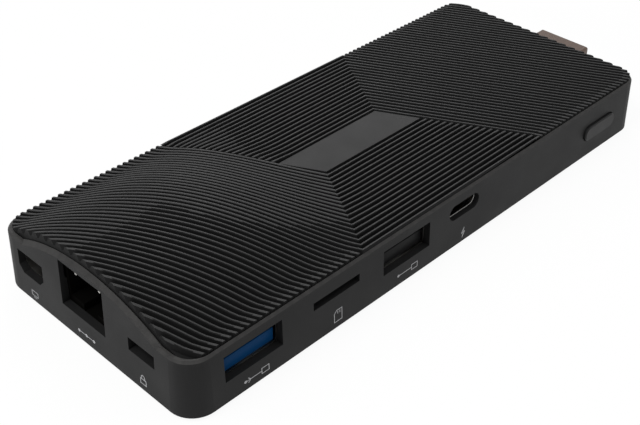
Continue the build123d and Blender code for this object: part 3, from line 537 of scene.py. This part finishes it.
def rib_line(number, offset, turned_round):
    """The plan points of one line of a rib, offset across it: its ends and its turn."""
    sense = -1 if turned_round else 1

    def reach_of(x, y, step_x, step_y, travel):
        return edge_along(sense * x, sense * y, sense * step_x, sense * step_y, travel)

    x, y = corner_of_rib(number)
    step_x, step_y = -cos(RIB_ANGLE), sin(RIB_ANGLE)
    across_x, across_y = sin(RIB_ANGLE), cos(RIB_ANGLE)
    turned = abs(y) <= CASE_WIDTH / 2 - COVER_SIDE_INSET - 0.2
    if turned:
        turn_x, turn_y = x + offset / tan(TURN), y + offset
        reach = reach_of(turn_x, turn_y, step_x, step_y, LONGEST_RIB)
        start = (turn_x + step_x * reach, turn_y + step_y * reach)
        end_x = level_rib_end(-turn_y)
        level_reach = reach_of(turn_x, turn_y, 1.0, 0.0, end_x - turn_x)
        return [start, (turn_x, turn_y), (turn_x + level_reach, turn_y)]
    base_x, base_y = x + across_x * offset, y + across_y * offset
    entry = 0.0
    while not inside(sense * (base_x + step_x * entry), sense * (base_y + step_y * entry)):
        entry += 0.05
        if entry > 120.0:
            return None
    first = (base_x + step_x * entry, base_y + step_y * entry)
    reach = reach_of(*first, step_x, step_y, LONGEST_RIB)
    return [(first[0] + step_x * reach, first[1] + step_y * reach), first]


def add_rib(points, faces, lines, turned_round):
    """A tapered rib through the given lines, with sloped tips."""
    rows = []
    for start in range(len(lines[0]) - 1):
        end = start + 1
        (x0, y0), (x1, y1) = lines[2][start], lines[2][end]
        count = max(2, int(sqrt((x1 - x0) ** 2 + (y1 - y0) ** 2) / RIB_STEP))
        for number in range(0 if start == 0 else 1, count + 1):
            share = number / count
            rows.append([
                tuple(a * (1 - share) + b * share for a, b in zip(line[start], line[end]))
                for line in lines])
    first = len(points)
    size = len(RIB_SECTION)
    for index, row in enumerate(rows):
        for (x, y), (_, height) in zip(row, RIB_SECTION):
            x, y = (-x, -y) if turned_round else (x, y)
            if index in (0, len(rows) - 1):
                height = min(height, RIB_TIP_HEIGHT)
            z = CREST - RIB_HEIGHT + hump_rise(x + CASE_LENGTH / 2, y) + height - RIB_SINK
            points.append(over_middle(x, y, z))
    for index in range(len(rows) - 1):
        for number in range(size - 1):
            corner = first + index * size + number
            faces.append((corner, corner + 1, corner + size + 1, corner + size))
        here, ahead = first + index * size, first + (index + 1) * size
        faces.append((here + size - 1, here, ahead, ahead + size - 1))
    faces.append(tuple(first + number for number in range(size - 1, -1, -1)))
    faces.append(tuple(first + (len(rows) - 1) * size + number for number in range(size)))


def make_ribs():
    """All the ribs: each is made twice, turned half round the badge."""
    points, faces = [], []
    for number in range(RIB_PAIRS):
        for turned_round in (False, True):
            lines = [rib_line(number, offset, turned_round) for offset, _ in RIB_SECTION]
            if all(lines):
                add_rib(points, faces, lines, turned_round)
    return points, faces


plate_points, plate_faces = make_cover_plate()
cover = mesh_piece("cover_plate", plate_points, plate_faces, rib_plastic_painted_shade, 35.0)
rib_points, rib_faces = make_ribs()
ribs = mesh_piece("cooling_ribs", rib_points, rib_faces, rib_plastic_painted_shade, 20.0)
# The small upward faces along the rib tops take the lighter crest copy: painted highlight on the crests.
ribs.data.materials.append(crest_painted_highlight)
for face in ribs.data.polygons:
    if face.normal.z > 0.6 and face.area < 0.9 * MM * MM:
        face.material_index = 1
for piece in (cover, ribs):
    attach(piece, "base")
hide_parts("ribbed_cover")
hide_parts("ribbed_cover")


# Pieces in the sockets' mouths


def bevelled_block(name, low, high, bevel, material):
    """A block between two corners of the case's millimetres, with rounded edges."""
    corners = [place(*corner) for corner in product(*zip(low, high))]
    faces = [(0, 1, 3, 2), (4, 6, 7, 5), (0, 4, 5, 1), (2, 3, 7, 6), (0, 2, 6, 4), (1, 5, 7, 3)]
    piece = mesh_piece(name, corners, faces, material)
    shape = bmesh.new()
    shape.from_mesh(piece.data)
    bmesh.ops.bevel(shape, geom=shape.edges, offset=bevel * MM, segments=3, affect="EDGES", profile=0.5)
    shape.to_mesh(piece.data)
    shape.free()
    piece.data.shade_smooth()
    piece.data.set_sharp_from_angle(angle=radians(35.0))
    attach(piece, "base")
    return piece


# Each part's name, half its width, its near low edge and far high edge (depth, height), and its bevel
TONGUE_PARTS = (
    ("_front", 5.9, (1.4, 5.2), (14.0, 7.64), 0.18),
    ("_back", 6.2, (9.6, 5.02), (14.6, 9.76), 0.1),
    ("_nose", 5.9, (1.38, 5.25), (2.9, 8.15), 0.18),
)


def make_tongue(name, middle, material):
    """A type A socket's moulded tongue, low in the shell, its thicker nose and the block behind it."""
    for part, half_width, near, far, bevel in TONGUE_PARTS:
        low, high = (middle - half_width, *near), (middle + half_width, *far)
        piece = bevelled_block(name + part, low, high, bevel, material)
        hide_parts(name)


def make_card_spring(turns=9, steps=18, sides=8):
    """The card slider's coil spring, built as a fixed coil; the real one shortens towards its far end as the
    slider goes in.
    """
    low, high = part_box("card_spring")
    middle_x, middle_z = (low.x + high.x) / 2, (low.z + high.z) / 2
    wire = 0.07 * MM
    radius = (high.x - low.x) / 2 - wire
    start, end = low.y + wire, high.y - wire
    points, faces = [], []
    count = turns * steps
    for index in range(count + 1):
        angle = 2 * pi * index / steps
        y = start + (end - start) * index / count
        for side in range(sides):
            around = 2 * pi * side / sides
            reach = radius + wire * cos(around)
            depth = y + wire * sin(around)
            points.append((middle_x + reach * cos(angle), depth, middle_z + reach * sin(angle)))
    for index in range(count):
        for side in range(sides):
            corner = index * sides + side
            following = index * sides + (side + 1) % sides
            faces.append((corner, following, following + sides, corner + sides))
    faces.append(tuple(range(sides)))
    faces.append(tuple(count * sides + side for side in range(sides - 1, -1, -1)))
    spring = mesh_piece("card_coil", points, faces, nickel_sheet)
    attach(spring, "base")
    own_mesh(spring)
    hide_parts("card_spring")


def make_mouth_lip(name, node, material, bead, steps=14, sides=8):
    """The rolled lip of a socket's shell: a bead round its oval mouth."""
    low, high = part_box(node)
    radius = (high.z - low.z) / 2 - bead
    middle_z = (low.z + high.z) / 2
    oval = []
    for centre, start in ((high.x - radius - bead, -pi / 2), (low.x + radius + bead, pi / 2)):
        for step in range(steps + 1):
            angle = start + pi * step / steps
            oval.append((centre + radius * cos(angle), middle_z + radius * sin(angle), angle))
    points, faces = [], []
    for x, z, angle in oval:
        for side in range(sides):
            around = 2 * pi * side / sides
            out = bead * cos(around)
            points.append((x + out * cos(angle), low.y + bead * sin(around), z + out * sin(angle)))
    for index in range(len(oval)):
        following = (index + 1) % len(oval)
        for side in range(sides):
            beside = (side + 1) % sides
            here, ahead = index * sides, following * sides
            faces.append((here + side, here + beside, ahead + beside, ahead + side))
    lip = mesh_piece(name, points, faces, material, 60.0)
    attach(lip, "base")


make_card_spring()
make_mouth_lip("type_c_lip", "usb_c_shell", bright_nickel, 0.08 * MM)
make_tongue("usb3_tongue", 14.4, blue_nylon)
make_tongue("usb2_tongue", 53.94, black_nylon)
for number, middle in enumerate((23.0, 29.8)):
    finger = bevelled_block("shield_finger_%d" % (number + 1), (0.22, middle - 0.28, 14.8),
                            (0.5, middle + 0.28, 15.42), 0.08, nickel_sheet)


# Printed marks beside the sockets: plain pictograms


def stroke(points, width, closed=False):
    """Quads along a line of points, in the wall's plane."""
    quads = []
    pairs = list(zip(points, points[1:] + (points[:1] if closed else [])))
    for (x0, y0), (x1, y1) in pairs:
        length = sqrt((x1 - x0) ** 2 + (y1 - y0) ** 2)
        along = ((x1 - x0) / length * width / 2, (y1 - y0) / length * width / 2)
        across = (-along[1], along[0])
        quads.append([
            (x0 - along[0] + across[0], y0 - along[1] + across[1]),
            (x0 - along[0] - across[0], y0 - along[1] - across[1]),
            (x1 + along[0] - across[0], y1 + along[1] - across[1]),
            (x1 + along[0] + across[0], y1 + along[1] + across[1])])
    return quads


def disc(x, y, radius, sides=16):
    """A filled round dot."""
    angles = [2 * pi * number / sides for number in range(sides)]
    return [[(x + radius * cos(angle), y + radius * sin(angle)) for angle in angles]]


def print_mark(name, wall, along, height, shapes):
    """A mark of flat ink on a wall, at a distance along it and a height."""
    points, faces = [], []
    for number, shape in enumerate(shapes):
        lift = 0.012 + 0.0015 * number
        first = len(points)
        for u, v in shape:
            z = height + v
            out = (WALL_TOP - z) * DRAFT + lift
            points.append(place(along + u, -out, z) if wall == "side" else place(-out, along - u, z))
        faces.append(tuple(range(first, first + len(shape))))
    piece = mesh_piece(name, points, faces, print_ink)
    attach(piece, "base")
    return piece


INK = 0.17
plug_mark = stroke([(-2.6, 0.0), (1.2, 0.0)], INK)
plug_mark += stroke([(1.2, -0.6), (2.9, -0.6), (2.9, 0.6), (1.2, 0.6)], INK, True)
plug_mark += disc(-2.6, 0.0, 0.32)
fast_mark = plug_mark + stroke([(-1.9, -0.5), (-1.4, 0.0), (-1.9, 0.5)], INK)
card_mark = stroke([(-1.0, -1.3), (1.0, -1.3), (1.0, 1.3), (-0.4, 1.3), (-1.0, 0.7)], INK, True)
card_mark += stroke([(-0.1, 0.95), (-0.1, 0.5)], INK) + stroke([(0.45, 0.95), (0.45, 0.5)], INK)
bolt_mark = stroke(
    [(0.25, 1.1), (-0.5, -0.05), (0.05, -0.05), (-0.25, -1.1), (0.5, 0.1), (-0.05, 0.1)], INK, True)
screen_mark = stroke([(-0.95, -0.3), (0.95, -0.3), (0.95, 0.75), (-0.95, 0.75)], INK, True)
screen_mark += stroke([(-0.45, -0.7), (0.45, -0.7)], INK)
node_mark = stroke([(-2.2, 0.0), (2.2, 0.0)], INK)
for dot in (-2.2, 0.0, 2.2):
    node_mark += disc(dot, 0.0, 0.35)
lock_mark = stroke([(-0.75, -1.0), (0.75, -1.0), (0.75, 0.1), (-0.75, 0.1)], INK, True)
lock_mark += stroke([(-0.45, 0.1), (-0.45, 0.65), (-0.2, 0.95), (0.2, 0.95), (0.45, 0.65), (0.45, 0.1)], INK)

# Each mark's name, its wall, its place along it, its height and its strokes
for mark in (
    ("mark_fast_socket", "side", 14.6, 1.85, fast_mark),
    ("mark_card", "side", 34.9, 2.75, card_mark),
    ("mark_socket", "side", 54.2, 2.15, plug_mark),
    ("mark_power", "side", 71.3, 2.1, bolt_mark),
    ("mark_screen", "front", 44.4, 1.7, screen_mark),
    ("mark_network", "front", 28.2, 1.95, node_mark),
    ("mark_lock", "front", 11.9, 2.4, lock_mark),
):
    print_mark(*mark)


# The stage, the lamps and the camera


def make_backdrop():
    """A pale floor that shows white and keeps the object's shadow."""
    material = bpy.data.materials.new("pale_floor")
    material.use_nodes = True
    tree = material.node_tree
    shader = tree.nodes["Principled BSDF"]
    shader.inputs["Base Color"].default_value = (0.9, 0.9, 0.9, 1.0)
    shader.inputs["Roughness"].default_value = 0.9
    glow = tree.nodes.new("ShaderNodeEmission")
    glow.inputs["Strength"].default_value = 1.0
    path = tree.nodes.new("ShaderNodeLightPath")
    seen = math_node(tree, "MAXIMUM", path.outputs["Is Camera Ray"], path.outputs["Is Glossy Ray"])
    share = math_node(tree, "MULTIPLY", seen, 0.93)
    mix = tree.nodes.new("ShaderNodeMixShader")
    tree.links.new(share, mix.inputs[0])
    tree.links.new(shader.outputs[0], mix.inputs[1])
    tree.links.new(glow.outputs[0], mix.inputs[2])
    tree.links.new(mix.outputs[0], tree.nodes["Material Output"].inputs["Surface"])
    half = 1.6
    level = -0.05 * MM
    corners = [(-half, -half, level), (half, -half, level), (half, half, level), (-half, half, level)]
    floor = mesh_piece("floor", corners, [(0, 1, 2, 3)], material)


def make_world():
    """A white surround that lights the object softly."""
    world = bpy.data.worlds.new("studio")
    bpy.context.scene.world = world
    world.use_nodes = True
    tree = world.node_tree
    background = tree.nodes["Background"]
    path = tree.nodes.new("ShaderNodeLightPath")
    seen = math_node(tree, "MAXIMUM", path.outputs["Is Camera Ray"], path.outputs["Is Glossy Ray"])
    seen = math_node(tree, "MAXIMUM", seen, path.outputs["Is Transmission Ray"])
    ambient = 0.33
    background.inputs["Color"].default_value = (1.0, 1.0, 1.0, 1.0)
    strength = math_node(tree, "ADD", math_node(tree, "MULTIPLY", seen, 1.0 - ambient), ambient)
    tree.links.new(strength, background.inputs["Strength"])


LAMP_TARGET = Vector((0.0, 0.0, 0.01))


def make_lamp(name, position, size, power):
    """A round soft lamp, turned to the middle of the object."""
    light = bpy.data.lights.new(name, "AREA")
    light.shape = "DISK"
    light.size = size
    light.energy = power
    lamp = bpy.data.objects.new(name, light)
    lamp.location = position
    lamp.rotation_euler = (LAMP_TARGET - Vector(position)).to_track_quat("-Z", "Y").to_euler()
    bpy.context.scene.collection.objects.link(lamp)


def make_camera():
    """The camera that was fitted to the photograph."""
    data = bpy.data.cameras.new("camera")
    data.lens = 62.5
    data.sensor_width = 36.0
    data.clip_start = 0.005
    camera = bpy.data.objects.new("camera", data)
    forward = Vector((0.5761, 0.5595, -0.5958)).normalized()
    right = Vector((0.7013, -0.7128, 0.0087)).normalized()
    up = right.cross(forward).normalized()
    right = forward.cross(up)
    turn = Matrix((right, up, -forward)).transposed()
    camera.matrix_world = Matrix.Translation((-0.14926, -0.13085, 0.139455)) @ turn.to_4x4()
    bpy.context.scene.collection.objects.link(camera)
    bpy.context.scene.camera = camera


make_backdrop()
make_world()
make_lamp("key_lamp", (-0.4, 0.05, 0.55), 0.35, 2.9)
make_lamp("fill_lamp", (0.05, -0.3, 0.55), 0.5, 0.9)
make_lamp("back_lamp", (0.35, 0.4, 0.45), 0.4, 1.1)
make_camera()

view = bpy.context.scene.view_settings
view.view_transform = "Standard"

bpy.context.view_layer.update()
